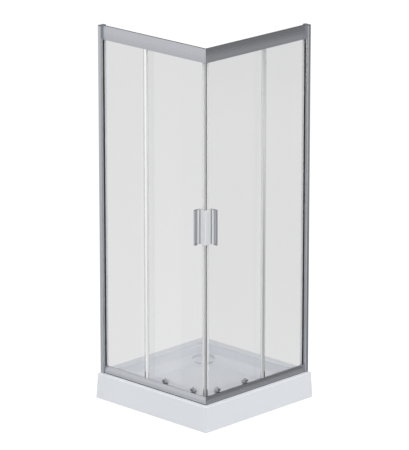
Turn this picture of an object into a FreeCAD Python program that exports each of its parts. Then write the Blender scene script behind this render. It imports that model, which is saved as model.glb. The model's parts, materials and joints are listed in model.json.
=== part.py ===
import FreeCAD, Part
import os
import Sketcher

# A corner-entry shower enclosure on a raised tray. Millimetres, Z up, origin on the floor in the middle
# of the footprint. The walls stand at -X and +Y; the doors meet at the +X -Y corner.
# "depth" is measured inwards from the foot of the front apron, "reach" from the wall along the front side.

doc = FreeCAD.newDocument("shower_enclosure")
sheet = doc.addObject("Spreadsheet::Sheet", "Sizes")

drivingSizes = [
    ("footSide", 800, "side of the square footprint on the floor"),
    ("overallHeight", 1995, "floor to the top of the frame"),
    ("cutOverrun", 5, "how far a cutting tool runs past the face that it cuts"),
    ("touchGap", 0.3, "air between pieces that move past each other"),
    ("runGap", 0.05, "radial air of a running fit"),
    ("slipGap", 0.5, "air round glass and other loose seats"),
    ("trayHeight", 132, "floor to the front rim of the tray"),
    ("apronDraft", 13, "how far the apron leans in towards the rim"),
    ("shellWall", 5, "tray shell"),
    ("nearRound", 16, "round of the apron edge at the entry corner"),
    ("rimRound", 4, "round of the rim's outer edge"),
    ("frontRim", 74, "flat rim under the frame"),
    ("backRim", 48, "ledge along the walls"),
    ("backUpstand", 13, "height of the ledge along the walls over the front rim"),
    ("ledgeStart", 105, "depth at which the ledge begins, clear of the doors"),
    ("ledgeSlope", 16, "run of the ledge's sloping end"),
    ("basinRound", 60, "corner round of the basin's mouth"),
    ("mouthBreak", 3, "broken edge of the basin's mouth"),
    ("wallInset", 12, "lean of the basin's steep wall"),
    ("wallDrop", 38, "drop of the basin's steep wall"),
    ("coveInset", 60, "run of the basin's sloping band"),
    ("coveDrop", 26, "drop of the basin's sloping band"),
    ("coveRound", 14, "soft turn from wall to band and from band to floor"),
    ("drainInset", 122, "waste hole to each wall"),
    ("drainHole", 31, "radius of the waste hole in the tray"),
    ("alcoveWall", 1.5, "room round the waste cover"),
    ("coverRadius", 56, "waste cover"),
    ("coverThick", 3, "waste cover"),
    ("coverLift", 4, "height of the waste cover's stubs"),
    ("stubRadius", 4, "stub under the waste cover"),
    ("stubRing", 35, "radius of the ring of stubs under the cover"),
    ("flangeRadius", 41, "waste flange on the tray floor"),
    ("flangeThick", 2, "waste flange on the tray floor"),
    ("throatRadius", 29, "outside of the waste's neck"),
    ("throatWall", 3, "wall of the waste's neck"),
    ("gasketThick", 3, "ring gasket under the tray floor"),
    ("gasketRadius", 40, "outside of the ring gasket"),
    ("trapRadius", 44, "trap body"),
    ("trapWall", 3, "trap body"),
    ("trapFloor", 8, "trap's underside over the floor"),
    ("outletRadius", 20, "waste spigot"),
    ("outletWall", 2, "waste spigot"),
    ("outletHeight", 30, "axis of the waste spigot over the floor"),
    ("outletReach", 22, "end of the waste spigot from the wall"),
    ("outletLength", 40, "length of the waste spigot that the pipe goes over"),
    ("outletRelief", 2, "width of the groove behind the waste spigot"),
    ("reliefDeep", 0.8, "depth of the groove behind the waste spigot"),
    ("outletCollar", 24, "radius of the collar behind the waste spigot"),
    ("tubeSide", 20, "square tube under the tray"),
    ("tubeWall", 1.5, "square tube under the tray"),
    ("tubeLength", 600, "long tubes under the tray"),
    ("tubeSpread", 320, "long tubes, centre to centre"),
    ("footSpread", 460, "levelling feet along a tube"),
    ("footPad", 21, "radius of a levelling foot's pad"),
    ("footPadThick", 8, "levelling foot's pad"),
    ("footRod", 4, "radius of a levelling foot's rod"),
    ("footRodTop", 54, "top of a levelling foot's rod over the floor"),
    ("nutRadius", 7.5, "hexagon nut, centre to corner"),
    ("nutThick", 6, "hexagon nut"),
    ("postDepth", 30, "outer face of the wall posts"),
    ("postWidth", 21, "wall to the inner edge of the post"),
    ("postThrough", 41.5, "post from its outer to its inner face"),
    ("postWall", 2, "wall of the post and of the wall channel"),
    ("postRound", 5, "round outer edges of the post"),
    ("wallAir", 0.5, "post's edge to the wall"),
    ("channelLeg", 16, "legs of the wall channel"),
    ("seatDeep", 10, "glass seat in the post"),
    ("capThick", 3, "cap on the post"),
    ("capPeg", 10, "peg of the cap inside the post"),
    ("wallHole", 3.25, "radius of the wall screw holes"),
    ("wallHoleLow", 300, "lowest wall hole over the floor"),
    ("wallHoleDrop", 175, "highest wall hole to the top of the frame"),
    ("screwRadius", 1.9, "shank of the post screws"),
    ("screwHead", 4, "head radius of the post screws"),
    ("screwHeadThick", 2.5, "head of the post screws"),
    ("screwLength", 8, "shank of the post screws"),
    ("screwReach", 10, "post screws to the wall"),
    ("headerDepth", 46, "outer edges of the header"),
    ("headerHeight", 74.5, "header"),
    ("headerThrough", 46, "header from its outer to its inner edge"),
    ("headerBulge", 2.5, "swell of the header's outer face"),
    ("headerSeat", 20, "glass seat in the header"),
    ("headerLip", 8, "drop of the header's inner lip"),
    ("headerCrest", 9, "flat crest of the header behind its outer edge"),
    ("headerRound", 3, "round of the header's outer upper edge"),
    ("roofFall", 13, "fall of the header's roof from the crest to its inner edge"),
    ("railWall", 2, "wall of the header and of the sill"),
    ("railEdge", 1.2, "soft lower edge of the header"),
    ("sillDepth", 39.5, "outer lower edge of the sill"),
    ("sillHeight", 38, "sill over the rim"),
    ("sillLean", 11.5, "how far the sill's face leans in at its top"),
    ("sillBulge", 4, "swell of the sill's outer face"),
    ("sillSeat", 26, "glass seat in the sill"),
    ("paneDepth", 53, "outer face of the fixed panes"),
    ("paneThick", 5, "safety glass"),
    ("paneShort", 72, "free edge of the fixed pane to the middle of the side"),
    ("doorDepth", 78.5, "outer face of the doors' glass"),
    ("doorLap", 100, "trailing edge of the closed door past the middle of the side"),
    ("doorTail", 88, "leading edge of the closed door from the apron's foot"),
    ("doorFoot", 150, "lower edge of the doors' glass over the floor"),
    ("doorHeadDrop", 16, "upper edge of the doors' glass to the top of the frame"),
    ("openAir", 24, "trailing edge of the open door to the post"),
    ("trackDepth", 67, "middle of the tracks and the wheels"),
    ("beadHalf", 2, "half the width of the bead that the wheels run on"),
    ("beadSwell", 1.5, "swell of the bead's running face"),
    ("beadRise", 3, "top of the bead over its flange"),
    ("trackThick", 2.5, "flange that carries the bead"),
    ("headerTrack", 27, "header's lower edge to the top of its track flange"),
    ("sillTrack", 31, "rim to the underside of the sill's track flange"),
    ("wheelWidth", 7, "door wheels"),
    ("wheelGroove", 2.3, "half the width of a wheel's groove"),
    ("topTread", 9, "groove radius of the hanging wheels"),
    ("topRim", 11, "rim radius of the hanging wheels"),
    ("lowTread", 7.5, "groove radius of the guide wheels"),
    ("lowRim", 9, "rim radius of the guide wheels"),
    ("axleRadius", 2.5, "wheel axles"),
    ("axleHead", 4.5, "head radius of the wheel axles"),
    ("axleHeadThick", 1.5, "head of the wheel axles"),
    ("axlePlay", 0.3, "end play of a wheel on its axle"),
    ("leadInset", 73, "leading rollers to the door's leading edge"),
    ("trailInset", 136, "trailing rollers to the door's trailing edge"),
    ("bushRadius", 7, "bush of a hanger or a guide in the glass"),
    ("hangerDisc", 12, "hanger's disc outside the glass"),
    ("knobRadius", 14, "knob inside the glass"),
    ("knobThick", 6, "knob inside the glass"),
    ("guideHalf", 14, "half the width of a guide, also the radius of its hood"),
    ("guideFoot", 137, "underside of a guide over the floor"),
    ("guideCentre", 173, "centre of a guide's hood over the floor"),
    ("guideWall", 2.5, "wall of a guide's hood"),
    ("guideBack", 7.5, "guide's back plate"),
    ("hoodDepth", 62.5, "outer face of the hood"),
    ("sliderHalf", 4, "half the width of a guide's slider"),
    ("sliderThick", 3, "guide's slider"),
    ("sliderFoot", 147.5, "underside of a slider over the floor"),
    ("sliderStroke", 5, "how far a slider is pressed"),
    ("buttonRise", 5.5, "button over the hood"),
    ("slotFloor", 2, "floor of a slider's slot"),
    ("springRadius", 1.5, "guide spring"),
    ("springWire", 0.5, "guide spring"),
    ("sealWall", 1.3, "wall of the seals"),
    ("sealLeg", 13, "legs of the seals on the glass"),
    ("sealFin", 1.2, "fins of the seals"),
    ("finFoot", 195, "lower end of the fins over the floor"),
    ("sealAir", 2.5, "ends of the seals to the rails"),
    ("cornerGap", 0.4, "magnetic seals and handles to the diagonal"),
    ("lipWide", 1.2, "lips of the post gasket"),
    ("lipProud", 5.5, "outer lip of the post gasket"),
    ("lipThick", 1.2, "inner lip of the post gasket"),
    ("stopLength", 10, "door stops in the header"),
    ("stopHeight", 15, "door stops in the header"),
    ("handleFoot", 965, "lower end of the handles over the floor"),
    ("handleLength", 185, "handles"),
    ("handleBase", 20.7, "handle's foot on the glass"),
    ("handleBaseThick", 4, "handle's foot on the glass"),
    ("handleWeb", 6, "handle's web"),
    ("handleGripThick", 10, "handle's grip"),
    ("handleGripLong", 28, "handle's grip"),
    ("handleGripRound", 1.5, "round of the grip's end"),
    ("handleTip", 38, "tip of the grip"),
    ("handleEdge", 1, "soft edges of the handle"),
    ("boltRadius", 2.5, "handle bolts"),
    ("boltInset", 36, "handle bolts to the handle's ends"),
    ("boltBite", 2.8, "handle bolts inside the handle"),
    ("boltCap", 9, "radius of the bolts' caps inside the door"),
    ("boltCapThick", 5, "bolts' caps"),
    ("bracketArm", 55, "arms of the corner brackets"),
    ("bracketThick", 3, "corner brackets"),
    ("headerBracket", 36, "height of the header's corner bracket"),
    ("sillBracket", 7, "width of the sill's corner bracket"),
]

for row, (alias, number, meaning) in enumerate(drivingSizes, start=1):
    sheet.set("A%d" % row, alias)
    sheet.set("B%d" % row, str(number))
    sheet.set("C%d" % row, meaning)
    sheet.setAlias("B%d" % row, alias)
doc.recompute()


class Size:
    """A number together with the sheet formula that gives it."""

    def __init__(self, number, formula):
        self.number = float(number)
        self.formula = formula

    def __add__(self, other):
        other = asSize(other)
        return Size(self.number + other.number, "(%s + %s)" % (self.formula, other.formula))

    def __sub__(self, other):
        other = asSize(other)
        return Size(self.number - other.number, "(%s - %s)" % (self.formula, other.formula))

    def __mul__(self, other):
        other = asSize(other)
        return Size(self.number * other.number, "(%s * %s)" % (self.formula, other.formula))

    def __truediv__(self, other):
        other = asSize(other)
        return Size(self.number / other.number, "(%s / %s)" % (self.formula, other.formula))

    def __neg__(self):
        return Size(-self.number, "(0 - %s)" % self.formula)

    __radd__ = __add__
    __rmul__ = __mul__


def asSize(value):
    return value if isinstance(value, Size) else Size(value, str(value))


class Named:
    """Every size of the sheet as an attribute."""


on = Named()
for alias, number, meaning in drivingSizes:
    setattr(on, alias, Size(number, "Sizes." + alias))

half = on.footSide / 2


def deep(depth):
    return depth - half


def reach(distance):
    return distance - half


def bind(item, name, value):
    item.setExpression(name, asSize(value).formula)


def place(item, x, y, z):
    bind(item, "Placement.Base.x", x)
    bind(item, "Placement.Base.y", y)
    bind(item, "Placement.Base.z", z)
    return item


def vector(point, height=0):
    return FreeCAD.Vector(asSize(point[0]).number, asSize(point[1]).number, height)


def block(name, x, y, z):
    item = doc.addObject("Part::Box", name)
    for side, (low, high) in zip(("Length", "Width", "Height"), (x, y, z)):
        bind(item, side, high - low)
    return place(item, x[0], y[0], z[0])


turns = {
    "x": FreeCAD.Rotation(FreeCAD.Vector(0, 1, 0), 90),
    "y": FreeCAD.Rotation(FreeCAD.Vector(1, 0, 0), -90),
    "z": FreeCAD.Rotation(),
}


def rod(name, axis, radius, length, x, y, z):
    item = doc.addObject("Part::Cylinder", name)
    bind(item, "Radius", radius)
    bind(item, "Height", length)
    item.Placement = FreeCAD.Placement(FreeCAD.Vector(), turns[axis])
    return place(item, x, y, z)


def joined(name, *items):
    item = doc.addObject("Part::MultiFuse", name)
    item.Shapes = list(items)
    item.Refine = True
    return item


def trimmed(name, base, *tools):
    item = doc.addObject("Part::Cut", name)
    item.Base = base
    item.Tool = tools[0] if len(tools) == 1 else joined(name + "_tools", *tools)
    item.Refine = True
    return item


def group(name, *items):
    item = doc.addObject("Part::Compound", name)
    item.Links = list(items)
    return item


def mirrored(name, source):
    item = doc.addObject("Part::Mirroring", name)
    item.Source = source
    item.Base = FreeCAD.Vector(0, 0, 0)
    item.Normal = FreeCAD.Vector(1, 1, 0)
    return item


def direction(start, end):
    across = asSize(end[0]).number - asSize(start[0]).number
    along = asSize(end[1]).number - asSize(start[1]).number
    return (across > 0) - (across < 0), (along > 0) - (along < 0)


def stepped(point, way, distance):
    return point[0] + distance * way[0], point[1] + distance * way[1]


def edgesOf(corners):
    """Edges of a closed outline. A corner is (x, y), or (x, y, round) where two square sides meet,
    or (x, y, None, swell) where the side that starts there is an arc."""
    edges = []
    count = len(corners)
    starts, ends = [], []
    for index, corner in enumerate(corners):
        before, after = corners[index - 1], corners[(index + 1) % count]
        point = corner[:2]
        if len(corner) == 3:
            starts.append(stepped(point, direction(before, corner), -corner[2]))
            ends.append(stepped(point, direction(corner, after), corner[2]))
        else:
            starts.append(point)
            ends.append(point)
    for index, corner in enumerate(corners):
        if len(corner) == 3:
            first, last = vector(starts[index]), vector(ends[index])
            centre = first + last - vector(corner)
            outwards = vector(corner) - centre
            middle = centre + outwards.normalize() * corner[2].number
            edges.append((starts[index], ends[index], middle, corner[2]))
        following = (index + 1) % count
        first, last = ends[index], starts[following]
        if len(corner) == 4:
            swell = corner[3]
            across, along = last[0] - first[0], last[1] - first[1]
            chord = vector(last) - vector(first)
            leftwards = FreeCAD.Vector(-chord.y, chord.x, 0).normalize()
            middle = (vector(first) + vector(last)) / 2 + leftwards * swell.number
            rise = swell if swell.number > 0 else -swell
            radius = ((across * across + along * along) / 4 + rise * rise) / (2 * rise)
            edges.append((first, last, middle, radius))
        else:
            edges.append((first, last, None, None))
    return edges


def drawn(sketch, outlines):
    """Draws closed outlines in a sketch, every point and radius bound to the sheet."""
    for corners in outlines:
        edges = edgesOf(corners)
        ids, heads = [], []
        for first, last, middle, radius in edges:
            if middle is None:
                shape = Part.LineSegment(vector(first), vector(last))
            else:
                shape = Part.ArcOfCircle(vector(first), middle, vector(last))
            ids.append(sketch.addGeometry(shape, False))
            nearer = sketch.getPoint(ids[-1], 1) - vector(first)
            farther = sketch.getPoint(ids[-1], 2) - vector(first)
            heads.append(1 if nearer.Length < farther.Length else 2)
        for index, (first, last, middle, radius) in enumerate(edges):
            before = index - 1
            sketch.addConstraint(
                Sketcher.Constraint("Coincident", ids[before], 3 - heads[before], ids[index], heads[index])
            )
            for kind, value in zip(("DistanceX", "DistanceY"), first):
                value = asSize(value)
                number = sketch.addConstraint(
                    Sketcher.Constraint(kind, -1, 1, ids[index], heads[index], value.number)
                )
                bind(sketch, "Constraints[%d]" % number, value)
            if radius is not None:
                number = sketch.addConstraint(Sketcher.Constraint("Radius", ids[index], radius.number))
                bind(sketch, "Constraints[%d]" % number, radius)
    return sketch


planes = {"x": "YZ_Plane", "z": "XY_Plane"}


def sketchOn(body, plane, outlines, height=None):
    sketch = body.newObject("Sketcher::SketchObject", body.Name + "_outline")
    support = [item for item in body.Origin.OriginFeatures if item.Role == plane][0]
    sketch.AttachmentSupport = [(support, "")]
    sketch.MapMode = "FlatFace"
    if height is not None:
        bind(sketch, "AttachmentOffset.Base.z", height)
    return drawn(sketch, outlines)


def extruded(name, axis, outlines, low, high):
    """A body whose outlines, drawn square to the axis, run from low to high along it."""
    body = doc.addObject("PartDesign::Body", name)
    sketch = sketchOn(body, planes[axis], outlines)
    pad = body.newObject("PartDesign::Pad", name + "_pad")
    pad.Profile = sketch
    bind(pad, "Length", high - low)
    body.Tip = pad
    bind(body, "Placement.Base." + axis, low)
    doc.recompute()
    return body


def lofted(name, levels):
    """A body of straight lofts through outlines at rising heights."""
    body = doc.addObject("PartDesign::Body", name)
    sections = [sketchOn(body, "XY_Plane", [corners], height) for height, corners in levels]
    for step, (lower, upper) in enumerate(zip(sections, sections[1:])):
        loft = body.newObject("PartDesign::AdditiveLoft", "%s_loft_%d" % (name, step))
        loft.Profile = lower
        loft.Sections = [upper]
        loft.Ruled = True
        body.Tip = loft
        doc.recompute()
    return body


def softened(body, radius, wanted):
    """Rounds the edges of a body that the test picks."""
    feature = body.Tip
    names = []
    for number, edge in enumerate(feature.Shape.Edges, start=1):
        if wanted(edge):
            names.append("Edge%d" % number)
    fillet = body.newObject("PartDesign::Fillet", body.Name + "_round")
    fillet.Base = (feature, names)
    bind(fillet, "Radius", radius)
    body.Tip = fillet
    doc.recompute()
    return body


def near(value, size):
    return abs(value - asSize(size).number) < on.runGap.number


def square(low, high, round=None):
    """A square outline in plan, given from -X -Y to +X +Y."""
    (left, front), (right, back) = low, high
    corners = [(left, front), (right, front), (right, back), (left, back)]
    if round is None:
        return corners
    return [corner + (round,) for corner in corners]


# Heights and places that several pieces share.
rim = on.trayHeight
headerFoot = on.overallHeight - on.headerHeight
sillTop = rim + on.sillHeight
paneInner = on.paneDepth + on.paneThick
doorInner = on.doorDepth + on.paneThick
postFace = reach(on.postWidth)
seatOuter = on.paneDepth - on.slipGap
seatInner = paneInner + on.slipGap
basinFloor = rim - on.wallDrop - on.coveDrop
paneFoot = rim + on.sillHeight - on.sillSeat

# The tray: a leaning apron, a ledge along the walls, a stepped basin and a hollow underside.


def apron(name, inset, past, foot, top):
    """A block with the apron's lean on its two front sides, drawn on the XZ plane of its body."""
    body = doc.addObject("PartDesign::Body", name)
    wedge = body.newObject("PartDesign::AdditiveWedge", name + "_wedge")
    support = [item for item in body.Origin.OriginFeatures if item.Role == "XZ_Plane"][0]
    wedge.AttachmentSupport = [(support, "")]
    wedge.MapMode = "FlatFace"
    lean = on.apronDraft / on.trayHeight
    for side in ("X", "Z"):
        bind(wedge, side + "min", -half - past)
        bind(wedge, side + "max", half - inset - lean * foot)
        bind(wedge, side + "2min", -half - past)
        bind(wedge, side + "2max", half - inset - lean * top)
    bind(wedge, "Ymin", foot)
    bind(wedge, "Ymax", top)
    body.Tip = wedge
    doc.recompute()
    return body


trayOuter = apron("tray_outer", asSize(0), asSize(0), asSize(0), rim)


def upright(edge, x, y):
    foot = min((point.Point for point in edge.Vertexes), key=lambda point: point.z)
    return edge.BoundBox.ZLength > on.shellWall.number and near(foot.x, x) and near(foot.y, y)


softened(trayOuter, on.nearRound, lambda edge: upright(edge, half, -half))


def onFrontRim(edge):
    box = edge.BoundBox
    level = near(box.ZMin, rim) and near(box.ZMax, rim)
    wall = near(box.XMax, -half) or near(box.YMin, half)
    return level and not wall


softened(trayOuter, on.rimRound, onFrontRim)

ledgeSide = [
    (deep(on.ledgeStart), rim - on.shellWall),
    (deep(on.ledgeStart), rim),
    (deep(on.ledgeStart + on.ledgeSlope), rim + on.backUpstand),
    (half, rim + on.backUpstand),
    (half, rim - on.shellWall),
]
ledgeLeft = extruded("tray_ledge", "x", [ledgeSide], -half, reach(on.backRim))
ledgeBack = mirrored("tray_ledge_back", ledgeLeft)


def mouth(inset, round):
    low = (reach(on.backRim + inset), deep(on.apronDraft + on.frontRim + inset))
    high = (half - on.apronDraft - on.frontRim - inset, half - on.backRim - inset)
    return square(low, high, round)


def basin(name, outset):
    top = rim + on.backUpstand
    wallFoot = rim - on.wallDrop - outset
    floor = basinFloor - outset
    toFloor = on.wallInset + on.coveInset
    levels = [
        (floor, mouth(toFloor - outset, on.basinRound + on.coveInset)),
        (wallFoot, mouth(on.wallInset - outset, on.basinRound)),
        (top - on.mouthBreak, mouth(-outset, on.basinRound)),
        (top, mouth(-outset - on.mouthBreak, on.basinRound)),
    ]
    return lofted(name, levels)


def basinTurn(edge):
    box = edge.BoundBox
    flat = near(box.ZMax, box.ZMin)
    low = near(box.ZMin, basinFloor) or near(box.ZMin, rim - on.wallDrop)
    return flat and low


trayBasin = softened(basin("tray_basin", asSize(0)), on.coveRound, basinTurn)
hollow = apron("tray_hollow", on.shellWall, on.cutOverrun, -on.cutOverrun, rim - on.shellWall)
trayUnder = trimmed("tray_under", hollow, basin("tray_basin_skin", on.shellWall))

drainX = reach(on.drainInset)
drainY = half - on.drainInset
alcoveRadius = on.coverRadius + on.alcoveWall
alcove = rod("drain_alcove", "z", alcoveRadius, on.coveDrop, drainX, drainY, basinFloor)
alcoveSkin = rod(
    "drain_alcove_skin", "z", alcoveRadius + on.shellWall, on.wallDrop + on.shellWall,
    drainX, drainY, basinFloor - on.shellWall,
)
drainCut = rod(
    "drain_cut", "z", on.drainHole, on.shellWall + 2 * on.cutOverrun,
    drainX, drainY, basinFloor - on.shellWall - on.cutOverrun,
)
trayShell = trimmed("tray_shell", joined("tray_solid", trayOuter, ledgeLeft, ledgeBack), trayUnder)
trayWhole = joined("tray_whole", trayShell, alcoveSkin)
tray = trimmed("shower_tray", trayWhole, trayBasin, alcove, drainCut)

# The frame of square tubes under the tray, its levelling feet and their lock nuts.
tubeTop = basinFloor - on.shellWall
tubeFoot = tubeTop - on.tubeSide
tubeHigh = (tubeFoot, tubeTop)
boreHigh = (tubeFoot + on.tubeWall, tubeTop - on.tubeWall)


def tube(name, x, y, inner):
    high = boreHigh if inner else tubeHigh
    return block(name, x, y, high)


tubeParts, tubeBores = [], []
for index, sign in enumerate((-1, 1)):
    middle = sign * on.tubeSpread / 2
    side = on.tubeSide / 2
    bore = side - on.tubeWall
    long = on.tubeLength / 2
    past = long + on.cutOverrun
    tubeParts.append(tube("tube_%d" % index, (-long, long), (middle - side, middle + side), False))
    tubeBores.append(tube("tube_bore_%d" % index, (-past, past), (middle - bore, middle + bore), True))
cross = on.tubeSpread / 2
tubeParts.append(tube("tube_cross", (-side, side), (-cross, cross), False))
tubeBores.append(tube("tube_cross_bore", (-bore, bore), (-cross, cross), True))

feet, nuts, footHoles = [], [], []
for xSign in (-1, 1):
    for ySign in (-1, 1):
        x = xSign * on.footSpread / 2
        y = ySign * on.tubeSpread / 2
        mark = "_%d" % len(feet)
        pad = rod("foot_pad" + mark, "z", on.footPad, on.footPadThick, x, y, asSize(0))
        stem = rod("foot_stem" + mark, "z", on.footRod, on.footRodTop, x, y, asSize(0))
        feet.append(joined("foot" + mark, pad, stem))
        room = on.footRod + on.runGap
        through = on.tubeWall + on.cutOverrun
        footHoles.append(rod("foot_hole" + mark, "z", room, through, x, y, tubeFoot - on.cutOverrun / 2))
        nut = doc.addObject("Part::Prism", "nut" + mark)
        nut.Polygon = 6
        bind(nut, "Circumradius", on.nutRadius)
        bind(nut, "Height", on.nutThick)
        place(nut, x, y, tubeFoot - on.nutThick)
        thread = rod("nut_bore" + mark, "z", room, on.nutThick, x, y, tubeFoot - on.nutThick)
        nuts.append(trimmed("nut_ring" + mark, nut, thread))
trayFrame = trimmed("tray_support_frame", joined("tubes", *tubeParts), *(tubeBores + footHoles))
trayFeet = group("tray_feet", *feet)
lockNuts = group("foot_lock_nuts", *nuts)

# The waste: flange and neck through the tray, a ring gasket below, the trap with its spigot, a loose cover.
neckFoot = tubeTop - on.gasketThick - on.flangeThick
neckTop = basinFloor + on.flangeThick
flange = rod("drain_disc", "z", on.flangeRadius, on.flangeThick, drainX, drainY, basinFloor)
neck = rod("drain_neck", "z", on.throatRadius, neckTop - neckFoot, drainX, drainY, neckFoot)
throat = rod(
    "drain_throat", "z", on.throatRadius - on.throatWall, neckTop - neckFoot + 2 * on.cutOverrun,
    drainX, drainY, neckFoot - on.cutOverrun,
)
drainFlange = trimmed("drain_flange", joined("drain_body", flange, neck), throat)
gasketFoot = tubeTop - on.gasketThick
gasketRing = rod("gasket_disc", "z", on.gasketRadius, on.gasketThick, drainX, drainY, gasketFoot)
neckRoom = rod(
    "neck_room", "z", on.throatRadius + on.runGap, on.trapRadius, drainX, drainY, neckFoot - on.cutOverrun
)
drainGasket = trimmed("drain_gasket", gasketRing, neckRoom)
trapTop = tubeTop - on.gasketThick
trapBody = rod("trap_body", "z", on.trapRadius, trapTop - on.trapFloor, drainX, drainY, on.trapFloor)
trapBore = rod(
    "trap_bore", "z", on.trapRadius - on.trapWall, trapTop - on.trapFloor - 2 * on.trapWall,
    drainX, drainY, on.trapFloor + on.trapWall,
)
outletEnd = reach(on.outletReach)
spigotRoot = outletEnd + on.outletLength
spigot = rod("trap_spigot", "x", on.outletRadius, on.outletLength, outletEnd, drainY, on.outletHeight)
relief = rod(
    "trap_relief", "x", on.outletRadius - on.reliefDeep, on.outletRelief, spigotRoot, drainY, on.outletHeight
)
collarEnd = spigotRoot + on.outletRelief
collar = rod("trap_collar", "x", on.outletCollar, drainX - collarEnd, collarEnd, drainY, on.outletHeight)
spigotBore = rod(
    "trap_spigot_bore", "x", on.outletRadius - on.outletWall, drainX - outletEnd + on.cutOverrun,
    outletEnd - on.cutOverrun, drainY, on.outletHeight,
)
trapShell = joined("trap_shell", trapBody, spigot, relief, collar)
drainTrap = trimmed("drain_trap", trapShell, trapBore, spigotBore, neckRoom)
coverFoot = neckTop + on.coverLift
coverDisc = rod("cover_disc", "z", on.coverRadius, on.coverThick, drainX, drainY, coverFoot)
stubs = []
for index, (xSign, ySign) in enumerate(((1, 0), (0, 1), (-1, 0), (0, -1))):
    x = drainX + xSign * on.stubRing
    y = drainY + ySign * on.stubRing
    stubs.append(rod("cover_stub_%d" % index, "z", on.stubRadius, on.coverLift, x, y, neckTop))
drainCover = joined("drain_cover", coverDisc, *stubs)

# One side of the enclosure, drawn for the front; the other side is its mirror across the diagonal.
postInner = on.postDepth + on.postThrough
wallEdge = reach(on.wallAir)
postOut, postIn = deep(on.postDepth), deep(postInner)
wall = on.postWall
seatX = postFace - on.seatDeep
postOutline = [
    (wallEdge, postOut, on.postRound),
    (postFace, postOut, on.postRound),
    (postFace, deep(seatOuter)),
    (seatX, deep(seatOuter)),
    (seatX, deep(seatInner)),
    (postFace, deep(seatInner)),
    (postFace, postIn),
    (wallEdge, postIn),
    (wallEdge, postIn - wall),
    (postFace - wall, postIn - wall),
    (postFace - wall, deep(seatInner) + wall),
    (seatX - wall, deep(seatInner) + wall),
    (seatX - wall, deep(seatOuter) - wall),
    (postFace - wall, deep(seatOuter) - wall),
    (postFace - wall, postOut + wall, on.postRound - wall),
    (wallEdge + wall, postOut + wall, on.postRound - wall),
    (wallEdge + wall, postOut + on.postRound + wall),
    (wallEdge, postOut + on.postRound + wall),
]
postTop = on.overallHeight - on.capThick
postBar = extruded("post_bar", "z", [postOutline], rim, postTop)
legIn = postIn - wall - on.touchGap
legOut = postOut + on.postRound + wall + on.touchGap
channelOutline = [
    (-half, legOut),
    (-half + on.channelLeg, legOut),
    (-half + on.channelLeg, legOut + wall),
    (-half + wall, legOut + wall),
    (-half + wall, legIn - wall),
    (-half + on.channelLeg, legIn - wall),
    (-half + on.channelLeg, legIn),
    (-half, legIn),
]
channelBar = extruded("channel_bar", "z", [channelOutline], rim, postTop - on.capPeg)
channelMiddle = (legOut + legIn) / 2
screwX = reach(on.screwReach)
screwRoom = on.screwRadius + on.runGap
wallHoles, postHoles, channelHoles, screws = [], [], [], []
wallHolePitch = (on.overallHeight - on.wallHoleDrop - on.wallHoleLow) / 2
for index in range(3):
    height = on.wallHoleLow + index * wallHolePitch
    wallHoles.append(
        rod("wall_hole_%d" % index, "x", on.wallHole, wall + 2 * on.cutOverrun, -half - on.cutOverrun,
            channelMiddle, height)
    )
    beside = height + on.bracketArm
    tool = on.screwLength + on.cutOverrun
    tip = postIn - on.screwLength
    postHoles.append(rod("post_hole_%d" % index, "y", screwRoom, tool, screwX, tip, beside))
    channelHoles.append(rod("leg_hole_%d" % index, "y", screwRoom, tool, screwX, tip, beside))
    shank = rod("screw_shank_%d" % index, "y", on.screwRadius, on.screwLength, screwX, tip, beside)
    head = rod("screw_head_%d" % index, "y", on.screwHead, on.screwHeadThick, screwX, postIn, beside)
    screws.append(joined("screw_%d" % index, shank, head))
frontChannel = trimmed("front_wall_channel", channelBar, *(wallHoles + channelHoles))
frontPost = trimmed("front_wall_post", postBar, *postHoles)
frontScrews = group("front_post_screws", *screws)

capOutline = [
    (wallEdge, postOut, on.postRound),
    (postFace, postOut, on.postRound),
    (postFace, postIn),
    (wallEdge, postIn),
]
capPlate = extruded("cap_plate", "z", [capOutline], postTop, on.overallHeight)
pegLow = (wallEdge + on.postRound, legOut + wall + on.slipGap)
pegHigh = (postFace - wall - on.slipGap, deep(seatOuter) - wall - on.slipGap)
peg = block("cap_peg", (pegLow[0], pegHigh[0]), (pegLow[1], pegHigh[1]), (postTop - on.capPeg, postTop))
frontCap = joined("front_post_cap", capPlate, peg)

# Header: a hollow rail with the pane's seat below and the track for the hanging wheels inside.
headerOut = deep(on.headerDepth)
headerIn = deep(on.headerDepth + on.headerThrough)
headerTop = on.overallHeight
crestIn = headerOut + on.headerCrest
web = on.railWall
webOut, webIn = deep(seatInner), deep(seatInner) + web
trackY = deep(on.trackDepth)
trackTop = headerFoot + on.headerTrack
beadTop = trackTop + on.beadRise
beadSide = beadTop - on.beadSwell
bead = on.beadHalf
trackIn = trackY + bead


def roof(y):
    return headerTop - on.roofFall * (y - crestIn) / (headerIn - crestIn)


lipFoot = roof(headerIn) - on.headerLip
headerOutline = [
    (headerOut, headerTop),
    (crestIn, headerTop),
    (headerIn, roof(headerIn)),
    (headerIn, lipFoot),
    (headerIn - web, lipFoot),
    (headerIn - web, roof(headerIn - web) - web),
    (webIn, roof(webIn) - web),
    (webIn, trackTop),
    (trackY - bead, trackTop),
    (trackY - bead, beadSide, None, on.beadSwell),
    (trackIn, beadSide),
    (trackIn, trackTop - on.trackThick),
    (webIn, trackTop - on.trackThick),
    (webIn, headerFoot),
    (webOut, headerFoot),
    (webOut, headerFoot + on.headerSeat),
    (deep(seatOuter), headerFoot + on.headerSeat),
    (deep(seatOuter), headerFoot),
    (headerOut, headerFoot, None, on.headerBulge),
]
headerHollow = [
    (headerOut + web, headerFoot + web),
    (deep(seatOuter) - web, headerFoot + web),
    (deep(seatOuter) - web, headerFoot + on.headerSeat + web),
    (webOut, headerFoot + on.headerSeat + web),
    (webOut, roof(webOut) - web),
    (crestIn, headerTop - web),
    (headerOut + web, headerTop - web),
]
headerBar = extruded("header_bar", "x", [headerOutline, headerHollow], postFace, half)


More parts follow.
